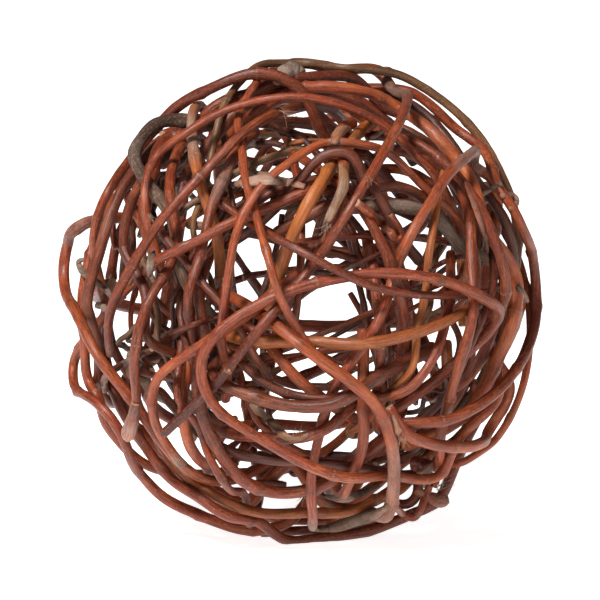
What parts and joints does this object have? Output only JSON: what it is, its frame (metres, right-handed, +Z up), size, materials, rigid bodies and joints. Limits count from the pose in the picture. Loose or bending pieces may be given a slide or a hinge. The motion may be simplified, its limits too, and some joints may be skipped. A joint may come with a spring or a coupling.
{
  "type": "decorative ball",
  "caption": "Hollow decorative ball loosely woven from long, thin, reddish-brown willow twigs that pass over and under each other; it rests on a small flat spot.",
  "frame": {"origin": "on the ground under the middle of the ball's bounding box", "axes": "+Z up, -Y the side that the picture shows, +X to the right as seen from that side; a ball has no other direction of its own"},
  "size_m": [0.201, 0.195, 0.1997],
  "materials": {
    "red_bark": "smooth reddish-brown willow bark with a soft sheen",
    "dark_bark": "darker, duller reddish-brown willow bark",
    "tan_bark": "orange-tan wood where the bark has come off",
    "grey_bark": "dry, fibrous grey-brown bark",
    "olive_bark": "olive-brown bark with a soft sheen"
  },
  "bodies": {
    "root": {"twig_back_arch": "red_bark", "twig_back_crossbar": "red_bark", "twig_back_high_run": "red_bark", "twig_back_low_run": "red_bark", "twig_back_slope": "red_bark", "twig_back_upright": "red_bark", "twig_base_back_run": "red_bark", "twig_bent_diagonal": "red_bark", "twig_big_lower_loop": "red_bark", "twig_bottom_run": "red_bark", "twig_centre_bend": "red_bark", "twig_centre_right_slant": "red_bark", "twig_centre_right_upright": "red_bark", "twig_crossing_arch": "red_bark", "twig_dark_crossbar": "dark_bark", "twig_grey_crossbar": "grey_bark", "twig_grey_elbow": "grey_bark", "twig_grey_tipped_hook": "red_bark", "twig_inner_diagonal": "red_bark", "twig_kinked_left_bottom": "red_bark", "twig_left_diagonal": "red_bark", "twig_left_edge": "red_bark", "twig_left_inner_bow": "dark_bark", "twig_left_loop": "red_bark", "twig_left_low_upright": "red_bark", "twig_left_outer_bow": "dark_bark", "twig_left_upright": "red_bark", "twig_long_slender": "red_bark", "twig_low_inner_run": "dark_bark", "twig_low_narrow_arc": "dark_bark", "twig_low_orange_run": "tan_bark", "twig_low_short_slant": "red_bark", "twig_low_wide_arc": "dark_bark", "twig_lower_right_edge": "red_bark", "twig_lower_right_hook": "red_bark", "twig_lower_sweep": "red_bark", "twig_orange_crossbar": "tan_bark", "twig_outer_left_arch": "red_bark", "twig_outer_right_loop": "red_bark", "twig_outer_top_arch": "olive_bark", "twig_pale_upper_left": "tan_bark", "twig_pink_low_slant": "red_bark", "twig_right_bow": "red_bark", "twig_right_elbow": "red_bark", "twig_right_inner_slant": "dark_bark", "twig_right_upright": "red_bark", "twig_rising_left_inner": "red_bark", "twig_second_arch": "red_bark", "twig_slender_upright": "tan_bark", "twig_small_arch": "dark_bark", "twig_steep_left_inner": "red_bark", "twig_stout_lower_right": "red_bark", "twig_stout_orange": "tan_bark", "twig_stout_red_bow": "red_bark", "twig_stout_right_arch": "red_bark", "twig_third_arch": "red_bark", "twig_upper_arch": "red_bark", "twig_upper_left_inner": "dark_bark", "twig_upper_right_edge": "dark_bark", "twig_upper_upright": "red_bark"}
  },
  "joints": []
}
